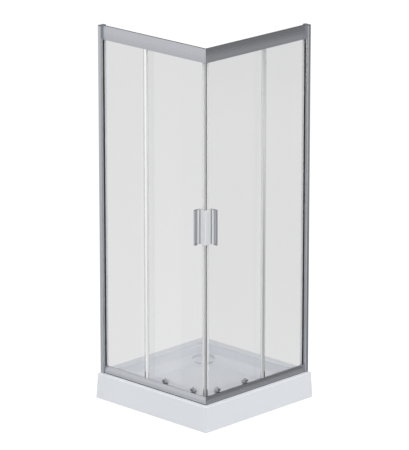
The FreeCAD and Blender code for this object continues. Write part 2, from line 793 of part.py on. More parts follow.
def longOuter(height):
    def wanted(edge):
        box = edge.BoundBox
        straight = box.XLength > on.bracketArm.number
        return straight and near(box.YMax, headerOut) and near(box.ZMin, height)

    return wanted


softened(headerBar, on.headerRound, longOuter(headerTop))
softened(headerBar, on.railEdge, longOuter(headerFoot))
mitreLow, mitreHigh = rim - on.cutOverrun, headerTop + on.cutOverrun
past = half + on.cutOverrun
mitreOutline = [(asSize(0), asSize(0)), (past, -past), (past, asSize(0))]
mitre = extruded("mitre", "z", [mitreOutline], mitreLow, mitreHigh)
frontHeader = trimmed("front_header_rail", headerBar, mitre)

# Sill: a rounded rail on the tray's rim with the pane's seat and an overhanging track for the guides.
sillOut = deep(on.sillDepth)
sillFace = sillOut + on.sillLean
seatFloor = sillTop - on.sillSeat
lowTrack = rim + on.sillTrack
lowBead = lowTrack - on.beadRise
lowBeadSide = lowBead + on.beadSwell
sillOutline = [
    (sillOut, rim),
    (webIn, rim),
    (webIn, lowTrack),
    (trackY - bead, lowTrack),
    (trackY - bead, lowBeadSide, None, -on.beadSwell),
    (trackIn, lowBeadSide),
    (trackIn, lowTrack + on.trackThick),
    (webIn, lowTrack + on.trackThick),
    (webIn, sillTop - web),
    (webOut, sillTop - web),
    (webOut, seatFloor),
    (deep(seatOuter), seatFloor),
    (deep(seatOuter), sillTop),
    (sillFace, sillTop, None, -on.sillBulge),
]
sillHollow = [
    (sillOut + web + web / 2, rim + web),
    (webOut, rim + web),
    (webOut, seatFloor - web),
    (deep(seatOuter) - web, seatFloor - web),
    (deep(seatOuter) - web, sillTop - on.beadRise - web),
    (sillFace - web / 2, sillTop - on.beadRise - web),
]
sillBar = extruded("sill_bar", "x", [sillOutline, sillHollow], postFace, half)
frontSill = trimmed("front_sill_rail", sillBar, mitre)

# Fixed pane with its black gasket at the post and its white seal at the free edge.
paneEdge = -on.paneShort
paneTop = headerFoot + on.headerSeat - 2 * on.slipGap
paneY = (deep(on.paneDepth), deep(paneInner))
frontPane = block("front_fixed_glass", (seatX + on.slipGap, paneEdge), paneY, (paneFoot, paneTop))
lipOut, lipIn = deep(on.paneDepth - on.lipProud), deep(paneInner + on.lipThick)
lipX = postFace + on.lipWide
gasketOutline = [
    (seatX, deep(seatOuter)),
    (postFace, deep(seatOuter)),
    (postFace, lipOut),
    (lipX, lipOut),
    (lipX, paneY[0]),
    (seatX + on.slipGap, paneY[0]),
    (seatX + on.slipGap, paneY[1]),
    (lipX, paneY[1]),
    (lipX, lipIn),
    (postFace, lipIn),
    (postFace, deep(seatInner)),
    (seatX, deep(seatInner)),
]
frontGasket = extruded("front_post_gasket", "z", [gasketOutline], sillTop, headerFoot)
sealFoot, sealTop = sillTop + on.touchGap, headerFoot - on.touchGap
legX = paneEdge - on.sealLeg
overlapOutline = [
    (legX, paneY[0] - on.sealWall),
    (paneEdge + on.sealWall, paneY[0] - on.sealWall),
    (paneEdge + on.sealWall, paneY[1] + on.sealWall),
    (legX, paneY[1] + on.sealWall),
    (legX, paneY[1]),
    (paneEdge, paneY[1]),
    (paneEdge, paneY[0]),
    (legX, paneY[0]),
]
overlapBar = extruded("overlap_bar", "z", [overlapOutline], sealFoot, sealTop)
sealOuter = deep(on.doorDepth - on.sealWall)
overlapFin = block(
    "overlap_fin", (legX, legX + on.sealFin), (paneY[1], sealOuter - 2 * on.touchGap),
    (on.finFoot, sealTop),
)
frontOverlap = joined("front_overlap_seal", overlapBar, overlapFin)

# Door stops in the header's track, at both ends of the door's run.
doorLow, doorHigh = -on.doorLap, half - on.doorTail
doorTravel = doorLow - postFace - on.openAir
leadX, trailX = doorHigh - on.leadInset, doorLow + on.trailInset
stopY = (webIn, trackY - bead)
stopZ = (trackTop, trackTop + on.stopHeight)
closedStop = leadX + on.topRim + on.touchGap
openStop = trailX - doorTravel - on.topRim - on.touchGap
frontStops = group(
    "front_door_stops",
    block("stop_closed", (closedStop, closedStop + on.stopLength), stopY, stopZ),
    block("stop_open", (openStop - on.stopLength, openStop), stopY, stopZ),
)

# Door glass with holes for hangers, guides and handle bolts.
doorY = (deep(on.doorDepth), deep(doorInner))
topAxle = beadTop + on.topTread + on.runGap
lowAxle = lowBead - on.lowTread - on.runGap
frontX = doorHigh - on.sealLeg
wingX = frontX - on.touchGap
handleX = wingX - on.handleBase
boltX = handleX + on.handleBase / 2
boltHeights = (on.handleFoot + on.boltInset, on.handleFoot + on.handleLength - on.boltInset)
holeDeep = on.paneThick + 2 * on.cutOverrun
holeY = doorY[0] - on.cutOverrun
doorHoles = []
for index, x in enumerate((leadX, trailX)):
    room = on.bushRadius + on.runGap
    doorHoles.append(rod("hanger_hole_%d" % index, "y", room, holeDeep, x, holeY, topAxle))
    doorHoles.append(rod("guide_hole_%d" % index, "y", room, holeDeep, x, holeY, on.guideCentre))
for index, z in enumerate(boltHeights):
    doorHoles.append(rod("bolt_hole_%d" % index, "y", on.boltRadius + on.slipGap, holeDeep, boltX, holeY, z))
doorTop = on.overallHeight - on.doorHeadDrop
doorSheet = block("door_sheet", (doorLow, doorHigh), doorY, (on.doorFoot, doorTop))
frontDoor = trimmed("front_door_glass", doorSheet, *doorHoles)

doorSealFoot, doorSealTop = on.doorFoot, headerFoot - on.sealAir
sealInner = doorY[1] + on.sealWall
backX = doorLow + on.sealLeg
trailOutline = [
    (doorLow - on.sealWall, sealOuter),
    (backX, sealOuter),
    (backX, doorY[0]),
    (doorLow, doorY[0]),
    (doorLow, doorY[1]),
    (backX, doorY[1]),
    (backX, sealInner),
    (doorLow - on.sealWall, sealInner),
]
trailBar = extruded("trail_bar", "z", [trailOutline], doorSealFoot, doorSealTop)
finTip = deep(on.hoodDepth)
trailFin = block(
    "trail_fin", (doorLow - on.sealWall, doorLow), (finTip, sealOuter), (on.finFoot, doorSealTop)
)
frontTrail = joined("front_trailing_seal", trailBar, trailFin)
magnetOutline = [
    (frontX, sealOuter),
    (-sealOuter - on.cornerGap, sealOuter),
    (-sealInner - on.cornerGap, sealInner),
    (frontX, sealInner),
    (frontX, doorY[1]),
    (doorHigh, doorY[1]),
    (doorHigh, doorY[0]),
    (frontX, doorY[0]),
]
frontMagnet = extruded("front_magnetic_seal", "z", [magnetOutline], doorSealFoot, doorSealTop)

# Handle: a foot on the glass, a wing over the seal, a web and a rounded grip that stands out.
footOut = doorY[0] - on.handleBaseThick
gripIn = deep(on.handleTip + on.handleGripLong)
gripOut = deep(on.handleTip)
gripLow = handleX - (on.handleGripThick - on.handleWeb) / 2
gripHigh = gripLow + on.handleGripThick
wingIn = sealOuter - on.touchGap
handleOutline = [
    (handleX, doorY[0]),
    (handleX, gripIn),
    (gripLow, gripIn),
    (gripLow, gripOut, on.handleGripRound),
    (gripHigh, gripOut, on.handleGripRound),
    (gripHigh, gripIn),
    (handleX + on.handleWeb, gripIn),
    (handleX + on.handleWeb, footOut),
    (-footOut - on.cornerGap, footOut),
    (-wingIn - on.cornerGap, wingIn),
    (wingX, wingIn),
    (wingX, doorY[0]),
]
handleTop = on.handleFoot + on.handleLength
handleBar = extruded("handle_bar", "z", [handleOutline], on.handleFoot, handleTop)


def gripCorner(edge):
    box = edge.BoundBox
    upright = box.ZLength > on.boltInset.number
    return upright and near(box.YMin, gripIn) and (near(box.XMin, gripLow) or near(box.XMin, gripHigh))


softened(handleBar, on.handleEdge, gripCorner)
handleHoles, bolts = [], []
for index, z in enumerate(boltHeights):
    thread = on.boltBite + on.slipGap
    handleHoles.append(
        rod("handle_thread_%d" % index, "y", on.boltRadius + on.runGap, thread + on.cutOverrun, boltX,
            doorY[0] - thread, z)
    )
    shank = rod("bolt_shank_%d" % index, "y", on.boltRadius, on.boltBite + on.paneThick + on.boltCapThick,
                boltX, doorY[0] - on.boltBite, z)
    capOfBolt = rod("bolt_cap_%d" % index, "y", on.boltCap, on.boltCapThick, boltX, doorY[1], z)
    bolts.append(joined("bolt_%d" % index, shank, capOfBolt))
frontHandle = trimmed("front_handle", handleBar, *handleHoles)
frontBolts = group("front_handle_bolts", *bolts)

# Rollers: wheels on axles, hangers at the top, sprung guides under a hood at the bottom.
wheelLow = trackY - on.wheelWidth / 2
axleTip = wheelLow - on.axlePlay - on.axleHeadThick


def wheel(name, rimRadius, tread, x, z):
    grooveLow = trackY - on.wheelGroove
    disc = rod(name + "_disc", "y", rimRadius, on.wheelWidth, x, wheelLow, z)
    bore = rod(name + "_bore", "y", on.axleRadius + on.runGap, on.wheelWidth, x, wheelLow, z)
    ringOut = rod(name + "_ring", "y", rimRadius + on.cutOverrun, 2 * on.wheelGroove, x, grooveLow, z)
    ringIn = rod(name + "_tread", "y", tread, 2 * on.wheelGroove, x, grooveLow, z)
    return trimmed(name, disc, bore, trimmed(name + "_groove", ringOut, ringIn))


def axle(name, x, z, end):
    pin = rod(name + "_pin", "y", on.axleRadius, end - axleTip, x, axleTip, z)
    head = rod(name + "_head", "y", on.axleHead, on.axleHeadThick, x, axleTip, z)
    return joined(name, pin, head)


hangerY = wheelLow + on.wheelWidth + on.axlePlay
backY = doorY[0] - on.guideBack
slotY = (backY + on.touchGap, backY + on.touchGap + on.sliderThick)
slotMiddle = (slotY[0] + slotY[1]) / 2
hoodTop = on.guideCentre + on.guideHalf
hoodOut = deep(on.hoodDepth)
hangers, guides, wheels, sliders, springs = [], [], {}, {}, {}
for spot, x in (("lead", leadX), ("trail", trailX)):
    name = "front_" + spot
    pin = axle(name + "_axle", x, topAxle, doorY[0])
    disc = rod(name + "_hanger_disc", "y", on.hangerDisc, doorY[0] - hangerY, x, hangerY, topAxle)
    bush = rod(name + "_hanger_bush", "y", on.bushRadius, on.paneThick, x, doorY[0], topAxle)
    knob = rod(name + "_hanger_knob", "y", on.knobRadius, on.knobThick, x, doorY[1], topAxle)
    hangers.append(joined(name + "_hanger", pin, disc, bush, knob))
    wheels[spot + "_top"] = wheel("front_top_wheel_" + spot, on.topRim, on.topTread, x, topAxle)
    wheels[spot + "_low"] = wheel("front_guide_wheel_" + spot, on.lowRim, on.lowTread, x, lowAxle)

    # The guide: back plate, half-round hood, bush and knob, with a slot for the slider.
    across = (x - on.guideHalf, x + on.guideHalf)
    plate = block(name + "_plate", across, (backY, doorY[0]), (on.guideFoot, on.guideCentre))
    crown = rod(name + "_crown", "y", on.guideHalf, doorY[0] - hoodOut, x, hoodOut, on.guideCentre)
    room = rod(name + "_room", "y", on.guideHalf - on.guideWall, backY - hoodOut - on.guideWall, x,
               hoodOut + on.guideWall, on.guideCentre)
    under = block(name + "_under", (across[0] - on.cutOverrun, across[1] + on.cutOverrun),
                  (hoodOut - on.cutOverrun, backY), (on.guideFoot, on.guideCentre))
    gbush = rod(name + "_bush", "y", on.bushRadius, on.paneThick, x, doorY[0], on.guideCentre)
    gknob = rod(name + "_knob", "y", on.knobRadius, on.knobThick, x, doorY[1], on.guideCentre)
    slotHalf = on.sliderHalf + on.touchGap
    slot = block(name + "_slot", (x - slotHalf, x + slotHalf),
                 (slotY[0] - on.touchGap / 2, slotY[1] + on.touchGap),
                 (on.guideFoot + on.slotFloor, hoodTop + on.cutOverrun))
    slitHalf = on.axleRadius + on.touchGap
    slit = block(name + "_slit", (x - slitHalf, x + slitHalf), (backY - on.cutOverrun, slotY[0]),
                 (lowAxle - on.sliderStroke - slitHalf, lowAxle + slitHalf))
    mass = joined(name + "_mass", plate, crown, gbush, gknob)
    shell = trimmed(name + "_shell", mass, room, under, slot, slit)
    guides.append(shell)

    # The slider carries the guide wheel's axle; its upper end is the button.
    bar = block(name + "_bar", (x - on.sliderHalf, x + on.sliderHalf), slotY,
                (on.sliderFoot, hoodTop + on.buttonRise))
    stub = axle(name + "_stub", x, lowAxle, slotY[1])
    sliders[spot] = joined("front_guide_slider_" + spot, bar, stub)
    springFoot = on.guideFoot + on.slotFloor
    springLong = on.sliderFoot - springFoot
    coil = rod(name + "_coil", "z", on.springRadius, springLong, x, slotMiddle, springFoot)
    coilBore = on.springRadius - on.springWire
    hole = rod(name + "_coil_bore", "z", coilBore, springLong, x, slotMiddle, springFoot)
    springs[spot] = trimmed("front_guide_spring_" + spot, coil, hole)
frontHangers = group("front_hangers", *hangers)
frontGuides = group("front_guides", *guides)

# Corner brackets inside the rails.


def bracket(name, depth, thick, low, high):
    out, inner = deep(depth), deep(depth + thick)
    arm = out + on.bracketArm
    front = block(name + "_front", (-arm, -out), (out, inner), (low, high))
    side = block(name + "_side", (-inner, -out), (out, arm), (low, high))
    return joined(name, front, side)


bracketLow = headerFoot + on.headerSeat + 2 * web
headerJoint = bracket(
    "header_corner_joint", on.headerDepth + web, on.bracketThick, bracketLow, bracketLow + on.headerBracket
)
sillJoint = bracket(
    "sill_corner_joint", on.sillDepth + 2 * web, on.sillBracket, rim + web, rim + web + on.bracketThick
)

doc.recompute()

frontNodes = [
    frontChannel, frontPost, frontScrews, frontCap, frontHeader, frontSill, frontPane, frontGasket,
    frontOverlap, frontStops, frontDoor, frontTrail, frontMagnet, frontHandle, frontBolts, frontHangers,
    frontGuides,
]
frontNodes += list(wheels.values()) + list(sliders.values()) + list(springs.values())
sideNodes = [mirrored(item.Name.replace("front_", "side_", 1), item) for item in frontNodes]
sharedNodes = [
    tray, trayFrame, trayFeet, lockNuts, drainFlange, drainGasket, drainTrap, drainCover,
    headerJoint, sillJoint,
]
nodes = sharedNodes + frontNodes + sideNodes
doc.recompute()

for item in doc.Objects:
    if "Invalid" in item.State or "Error" in item.State:
        raise RuntimeError("%s did not build" % item.Name)
os.makedirs("parts", exist_ok=True)
for item in nodes:
    item.Label = item.Name
    if item.Shape.isNull() or not item.Shape.isValid():
        raise RuntimeError("%s has no valid shape" % item.Name)
    item.Shape.exportStep("parts/%s.step" % item.Label)
    print(item.Label, len(item.Shape.Solids), round(item.Shape.Volume))
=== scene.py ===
import bmesh
import bpy
import json
import math
from mathutils import Matrix, Vector

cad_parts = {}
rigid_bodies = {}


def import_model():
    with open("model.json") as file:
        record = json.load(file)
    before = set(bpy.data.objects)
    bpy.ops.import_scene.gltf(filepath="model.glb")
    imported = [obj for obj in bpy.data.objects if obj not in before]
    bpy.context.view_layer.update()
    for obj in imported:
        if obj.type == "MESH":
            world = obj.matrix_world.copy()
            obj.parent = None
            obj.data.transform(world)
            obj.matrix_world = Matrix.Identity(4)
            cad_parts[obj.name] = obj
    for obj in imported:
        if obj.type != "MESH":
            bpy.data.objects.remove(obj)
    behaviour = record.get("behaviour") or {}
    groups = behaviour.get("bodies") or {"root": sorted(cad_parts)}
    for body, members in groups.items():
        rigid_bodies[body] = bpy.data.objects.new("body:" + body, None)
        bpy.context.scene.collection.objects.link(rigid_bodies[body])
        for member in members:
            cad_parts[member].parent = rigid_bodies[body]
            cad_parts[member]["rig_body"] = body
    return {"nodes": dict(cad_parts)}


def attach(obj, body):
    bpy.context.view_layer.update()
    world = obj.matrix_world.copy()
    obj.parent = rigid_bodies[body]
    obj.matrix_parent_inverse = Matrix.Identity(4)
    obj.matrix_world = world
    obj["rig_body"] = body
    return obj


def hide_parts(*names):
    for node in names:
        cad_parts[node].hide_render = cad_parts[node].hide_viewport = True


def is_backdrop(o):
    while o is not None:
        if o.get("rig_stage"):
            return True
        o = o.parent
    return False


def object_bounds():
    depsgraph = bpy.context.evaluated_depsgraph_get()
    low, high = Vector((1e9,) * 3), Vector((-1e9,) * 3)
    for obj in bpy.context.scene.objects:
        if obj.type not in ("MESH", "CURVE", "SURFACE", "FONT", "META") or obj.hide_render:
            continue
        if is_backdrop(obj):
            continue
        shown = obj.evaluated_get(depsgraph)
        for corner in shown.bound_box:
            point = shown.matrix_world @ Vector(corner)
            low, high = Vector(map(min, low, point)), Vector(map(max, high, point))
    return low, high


# Looks of a corner-entry shower enclosure: satin aluminium frame, tinted safety glass, white tray.
# Metres, Z up. The walls stand at -X and +Y, the doors meet at the +X -Y corner.

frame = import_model()
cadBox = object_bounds()
nodes = frame["nodes"]
sides = {"front": 0, "side": 1}  # each side's rails run along this axis
mm = 0.001
halfFoot = 400  # mm from the middle of the footprint to the foot of an apron
weld, snap = 1e-6, 1e-5  # corners this near are one; corners this near to a plane lie in it
flatLimit = math.radians(0.5)  # a weaker turn between two faces is flat
edgeLimit = math.radians(32)  # a stronger one is an edge


def linear(code):
    parts = [int(code[i:i + 2], 16) / 255 for i in (1, 3, 5)]
    return [c / 12.92 if c <= 0.04045 else ((c + 0.055) / 1.055) ** 2.4 for c in parts] + [1]


def put(tree, kind, settings={}, links={}):
    node = tree.nodes.new("ShaderNode" + kind)
    for key, value in settings.items():
        if isinstance(key, int) or key in node.inputs:
            node.inputs[key].default_value = value
        else:
            setattr(node, key, value)
    for key, source in links.items():
        tree.links.new(source, node.inputs[key])
    return node


def blank(name, world=False):
    owner = bpy.data.worlds.new(name) if world else bpy.data.materials.new(name)
    owner.use_nodes = True
    owner.node_tree.nodes.clear()
    return owner


noise = {"low": 0.3, "high": 0.7, "detail": 3}  # where most of the noise lies, and its finer layers


# A surface with fine relief: a noise with a grain of a real size in mm drives roughness and a slight bump.
def surface(name, colour, rough, grain, bump, strength=0.3, spread=0.06, **sockets):
    made = blank(name)
    tree = made.node_tree
    sizes = grain if isinstance(grain, list) else [grain] * 3
    coords = put(tree, "TexCoord")
    fitted = put(tree, "Mapping", {"Scale": [1 / (size * mm) for size in sizes]},
                 {"Vector": coords.outputs["Object"]})
    speckle = put(tree, "TexNoise", {"Scale": 1, "Detail": noise["detail"]}, {"Vector": fitted.outputs[0]})
    gloss = put(tree, "MapRange", {"From Min": noise["low"], "From Max": noise["high"],
                                   "To Min": rough - spread, "To Max": rough + spread},
                {"Value": speckle.outputs[0]})
    relief = put(tree, "Bump", {"Strength": strength, "Distance": bump * mm}, {"Height": speckle.outputs[0]})
    shader = put(tree, "BsdfPrincipled", {"Base Color": linear(colour), **sockets},
                 {"Roughness": gloss.outputs[0], "Normal": relief.outputs[0]})
    put(tree, "OutputMaterial", {}, {"Surface": shader.outputs[0]})
    return made


# Extruded aluminium, etched and anodised: a soft sheen drawn out along the faint lines of the die.
# The lines are a tenth of a millimetre wide; they are drawn 1.5 mm wide so that they show.
dieLines = {"width": 1.5, "run": 600}
anodised = []
for axis, word in enumerate("XYZ"):
    sizes = [dieLines["width"]] * 3
    sizes[axis] = dieLines["run"]
    anodised.append(surface("anodisedAluminiumAlong" + word, "#B8BAC0", rough=0.3, grain=sizes, bump=0.02,
                            Metallic=1))
railMetals, uprightMetal = anodised[:2], anodised[2]

# Sanitary acrylic, vacuum formed over a mould: a deep gloss with a very slight ripple.
castAcrylic = surface("vacuumFormedAcrylic", "#EBEEF3", rough=0.2, grain=14, bump=0.05, strength=0.15,
                      spread=0.03, IOR=1.49)

# Float glass, toughened: clear, with a weak grey tint.
floatGlass = surface("toughenedFloatGlass", "#D9D9DA", rough=0.01, grain=60, bump=0.02, strength=0.05,
                     spread=0.005, IOR=1.52, **{"Transmission Weight": 1})

# Soft PVC, extruded, with a waxy sheen: white where it holds the fixed panes, milky at their free edges and on the
# outside of the doors' magnet seals, a faint grey at the doors' trailing edges and nearly clear elsewhere.
whiteVinyl = surface("extrudedWhiteVinyl", "#F4F4F3", rough=0.35, grain=3, bump=0.02, IOR=1.53)
milkyVinyl = surface("extrudedMilkyVinyl", "#E8E9EA", rough=0.22, grain=3, bump=0.02, IOR=1.53, Alpha=0.6)
greyVinyl = surface("extrudedGreyVinyl", "#C0C2C4", rough=0.22, grain=3, bump=0.02, IOR=1.53, Alpha=0.22)
clearVinyl = surface("extrudedClearVinyl", "#E2E4E6", rough=0.2, grain=3, bump=0.02, IOR=1.53, Alpha=0.03)

# EPDM rubber, extruded: black and dull with a fine grain. The strip magnets are rubber filled with ferrite; the same
# magnet is painted paler in the front door and darker in the side door, painted light and shade for how each side is
# lit.
blackRubber = surface("extrudedRubber", "#2A2A2B", rough=0.65, grain=0.8, bump=0.05, IOR=1.5)
ferriteRubberPaintedLitAndShaded = {
    "front": surface("extrudedPaleFerriteRubber", "#A6A8AA", rough=0.6, grain=0.8, bump=0.05, IOR=1.5),
    "side": surface("extrudedDarkFerriteRubber", "#4A4C4E", rough=0.6, grain=0.8, bump=0.05, IOR=1.5),
}

# Acetal and ABS, moulded: an even satin from the spark-eroded mould, glossier where the mould was polished.
darkAbs = surface("mouldedDarkAbs", "#55585C", rough=0.4, grain=0.7, bump=0.03, IOR=1.53)
blackAbs = surface("mouldedBlackAbs", "#303235", rough=0.42, grain=0.7, bump=0.03, IOR=1.53)
hoodAbs = surface("mouldedHoodAbs", "#94979B", rough=0.3, grain=0.7, bump=0.03, IOR=1.53)
greyAbs = surface("mouldedGreyAbs", "#8C9094", rough=0.4, grain=0.7, bump=0.03, IOR=1.53)
whiteAbs = surface("mouldedWhiteAbs", "#EEF0F2", rough=0.22, grain=5, bump=0.02, IOR=1.53)
pearlAbs = surface("mouldedPearlAbs", "#F1F3F5", rough=0.25, grain=5, bump=0.02, strength=0.15, spread=0.02,
                   IOR=1.53)
acetal = surface("mouldedAcetal", "#E4E3DE", rough=0.38, grain=0.8, bump=0.02, IOR=1.48)

# Metals of the small parts: plain stainless wire and screws, zinc plate with its frosty grain, bright chrome, and
# the metallised film on the seals of the fixed panes, which mirrors its surroundings through a little white.
stainless = surface("drawnStainlessSteel", "#B9B7B3", rough=0.28, grain=0.6, bump=0.02, Metallic=1)
zincPlate = surface("zincPlatedSteel", "#AEB2B5", rough=0.42, grain=6, bump=0.02, spread=0.12, Metallic=1)
chromePlate = surface("chromePlatedAbs", "#D6D8DA", rough=0.08, grain=8, bump=0.01, strength=0.1, spread=0.03,
                      Metallic=1)
metalFilm = surface("metallisedVinylFilm", "#F6F6F5", rough=0.1, grain=8, bump=0.01, strength=0.05,
                    spread=0.03, IOR=1.53, Metallic=0.8)
print("materials:", len(bpy.data.materials))

# What each node is made of, its slot in the record and how its edges are broken: width in mm and steps.
# A node with no width keeps its CAD mesh.
finishes = {
    "shower_tray": (castAcrylic, "white_acrylic", 1.5, 3),
    "tray_support_frame": (zincPlate, "zinc_steel", 0, 0),
    "tray_feet": (greyAbs, "grey_plastic", 0, 0),
    "foot_lock_nuts": (zincPlate, "zinc_steel", 0, 0),
    "drain_flange": (whiteAbs, "white_plastic", 0, 0),
    "drain_gasket": (blackRubber, "black_rubber", 0, 0),
    "drain_trap": (whiteAbs, "white_plastic", 0, 0),
    "drain_cover": (castAcrylic, "white_plastic", 1.2, 3),
    "header_corner_joint": (zincPlate, "zinc_steel", 0, 0),
    "sill_corner_joint": (zincPlate, "zinc_steel", 0, 0),
    "wall_channel": (uprightMetal, "satin_aluminium", 0, 0),
    "wall_post": (uprightMetal, "satin_aluminium", 0.5, 2),
    "post_screws": (stainless, "stainless_steel", 0.5, 2),
    "post_cap": (darkAbs, "dark_plastic", 0.8, 2),
    # the header's third finish, the dark plastic, is painted shade on its crest
    "header_rail": (railMetals + [blackAbs], "satin_aluminium", 0.7, 3),
    "sill_rail": (railMetals, "satin_aluminium", 0.7, 3),
    "fixed_glass": (floatGlass, "safety_glass", 0.7, 1),
    "post_gasket": (blackRubber, "black_rubber", 0.6, 2),
    "overlap_seal": ([milkyVinyl, metalFilm], "white_vinyl", 0.4, 2),
    "door_stops": (blackRubber, "black_rubber", 1, 2),
    "door_glass": (floatGlass, "safety_glass", 0.7, 1),
    "trailing_seal": (greyVinyl, "clear_vinyl", 0.4, 2),
    "magnetic_seal": ([clearVinyl, milkyVinyl, whiteVinyl], "clear_vinyl", 0.4, 2),
    "handle": ([uprightMetal, pearlAbs, blackAbs], "satin_aluminium", 0.7, 3),
    "handle_bolts": (chromePlate, "chrome_caps", 1, 3),
    "hangers": (greyAbs, "grey_plastic", 0.6, 2),
    "guides": ([hoodAbs, pearlAbs, darkAbs], "dark_plastic", 0.9, 3),
    "top_wheel": (acetal, "wheel_plastic", 0.4, 2),
    "guide_wheel": (acetal, "wheel_plastic", 0.4, 2),
    "guide_slider": (greyAbs, "dark_plastic", 0.5, 2),
    "guide_spring": (stainless, "stainless_steel", 0, 0),
}
seeThrough = ("fixed_glass", "door_glass", "overlap_seal", "trailing_seal", "magnetic_seal")
rails = ("header_rail", "sill_rail")


def camel(name):
    first, *rest = name.split("_")
    return first + "".join(word.capitalize() for word in rest)


def kindOf(node):
    short = node.split("_", 1)[1] if node.split("_")[0] in sides else node
    return short.removesuffix("_lead").removesuffix("_trail")


# How far in metres a point lies behind the foot of its side's apron and how far along it towards the near corner, and
# how squarely a face looks out of that side.
def depthOf(point, side):
    return halfFoot * mm + (point.y if side == "front" else -point.x)


def alongOf(point, side):
    return point.x if side == "front" else -point.y


def outwardOf(normal, side):
    return -normal.y if side == "front" else normal.x


acrossDiagonal = Matrix(((0, -1, 0, 0), (-1, 0, 0, 0), (0, 0, 1, 0), (0, 0, 0, 1)))


def wholeOf(work):
    return work.verts[:] + work.edges[:] + work.faces[:]


def sharpEdges(work):
    return [edge for edge in work.edges if edge.calc_face_angle(0) > edgeLimit]


def breakEdges(work, edges, width, steps):
    bmesh.ops.bevel(work, geom=edges, offset=width * mm, segments=steps, offset_type="OFFSET", affect="EDGES",
                    profile=0.5, material=-1, clamp_overlap=True)


def finishPiece(name, work, looks, body):
    bmesh.ops.recalc_face_normals(work, faces=work.faces)
    mesh = bpy.data.meshes.new(name)
    work.to_mesh(mesh)
    work.free()
    for look in looks:
        mesh.materials.append(look)
    mesh.shade_smooth()
    mesh.set_sharp_from_angle(angle=edgeLimit)
    piece = bpy.data.objects.new(name, mesh)
    bpy.context.scene.collection.objects.link(piece)
    even = piece.modifiers.new("evenShading", "WEIGHTED_NORMAL")
    even.keep_sharp = True
    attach(piece, body)
    return piece


# Which of a piece's finishes a face takes: the handle's grip is metal, its web and wing are pearl plastic and its ends
# have dark plugs; the guides' hoods have a dark plate sunk into them and their knobs inside the glass are pearl; the
# seals of the fixed panes are faced with film; those of the doors are milky on the outside, and their web across the
# glass edge is painted white on the front door and milky on the other, painted light and shade for how each side is
# lit; the header's crest takes dark plastic, painted shade for the dark line along its top.
turnDepths = {"grip": 0.056, "inside": 0.083, "film": 0.0522, "hood": 0.0632, "plate": 0.0645, "crest": 0.0556,
              "milky": 0.079}
sealTurns = {"milkyEnd": 0.3135, "web": 0.31215, "webReach": 0.0005}  # metres along the side
squarely = {"end": 0.95, "out": 0.9, "up": 0.6}  # how nearly a face looks that way


def finishOf(kind, face, side):
    depth = depthOf(face.calc_center_median(), side)
    along = alongOf(face.calc_center_median(), side)
    outward = outwardOf(face.normal, side) > squarely["out"]
    if kind == "handle":
        return 2 if abs(face.normal.z) > squarely["end"] else int(depth > turnDepths["grip"])
    if kind == "guides" and outward and turnDepths["hood"] < depth < turnDepths["plate"]:
        return 2
    if kind == "guides":
        return int(depth > turnDepths["inside"])
    # the header's upward faces at its crest take dark plastic: painted shade for the dark line along its top
    if kind == "header_rail" and face.normal.z > squarely["up"] and depth < turnDepths["crest"]:
        return 2
    if kind == "overlap_seal":
        return int(depth < turnDepths["film"])
    # the web is painted white on the front door and milky on the side door: painted light and shade for how each side
    # is lit
    if kind == "magnetic_seal" and abs(along - sealTurns["web"]) < sealTurns["webReach"]:
        return 2 - sides[side]
    if kind == "magnetic_seal":
        return int(depth < turnDepths["milky"] and along < sealTurns["milkyEnd"])
    return sides[side] if kind in rails else 0


hoodPlate = {"rim": 3.2, "sunk": 1.2}
mitreRound = {"width": 2.2, "steps": 4, "frontDepth": 0.0535}  # the rails' outer edges where they meet
sealPanes = {"overlap_seal": "fixed_glass", "trailing_seal": "door_glass", "magnetic_seal": "door_glass"}
airGap = 0.15  # mm between a see-through seal and its pane, so that the two surfaces don't lie in one
# Where a piece is cut, square to the way from the middle, so that its finishes meet in a straight line.
finishCuts = {"handle": Vector((0, turnDepths["grip"] - halfFoot * mm, 0)),
              "magnetic_seal": Vector((sealTurns["milkyEnd"], 0, 0))}


def standOff(work, pane):
    for axis in (0, 1):
        ends = [corner[axis] for corner in pane.bound_box]
        for end, way in ((min(ends), -1), (max(ends), 1)):
            shift = Vector((0, 0, 0))
            shift[axis] = way * airGap * mm
            touching = [v for v in work.verts if abs(v.co[axis] - end) < snap]
            bmesh.ops.translate(work, vec=shift, verts=touching)


# A merged copy of a node with its sharp edges broken as the real piece's are.
def softened(node, kind, looks, width, steps):
    side = node.split("_")[0]
    work = bmesh.new()
    work.from_mesh(nodes[node].data)
    bmesh.ops.remove_doubles(work, verts=work.verts, dist=weld)
    bmesh.ops.dissolve_limit(work, angle_limit=flatLimit, verts=work.verts, edges=work.edges)
    if kind in sealPanes:
        standOff(work, nodes[side + "_" + sealPanes[kind]])
    if kind in rails:
        nose = [edge for edge in sharpEdges(work) if all(
            abs(v.co.x + v.co.y) < snap and depthOf(v.co, side) < mitreRound["frontDepth"] for v in edge.verts)]
        breakEdges(work, nose, mitreRound["width"], mitreRound["steps"])
    breakEdges(work, sharpEdges(work), width, steps)
    if kind in finishCuts:
        cut = acrossDiagonal @ finishCuts[kind] if side == "side" else finishCuts[kind]
        bmesh.ops.bisect_plane(work, geom=wholeOf(work), plane_co=cut, plane_no=cut.normalized())
    if kind == "guides":
        hoods = [face for face in work.faces if outwardOf(face.normal, side) > squarely["out"]
                 and depthOf(face.calc_center_median(), side) < turnDepths["hood"]]
        bmesh.ops.inset_region(work, faces=hoods, thickness=hoodPlate["rim"] * mm,
                               depth=-hoodPlate["sunk"] * mm)
    for face in work.faces:
        face.material_index = finishOf(kind, face, side)
    piece = finishPiece(camel(node), work, looks, nodes[node]["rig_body"])
    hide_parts(node)
    return piece


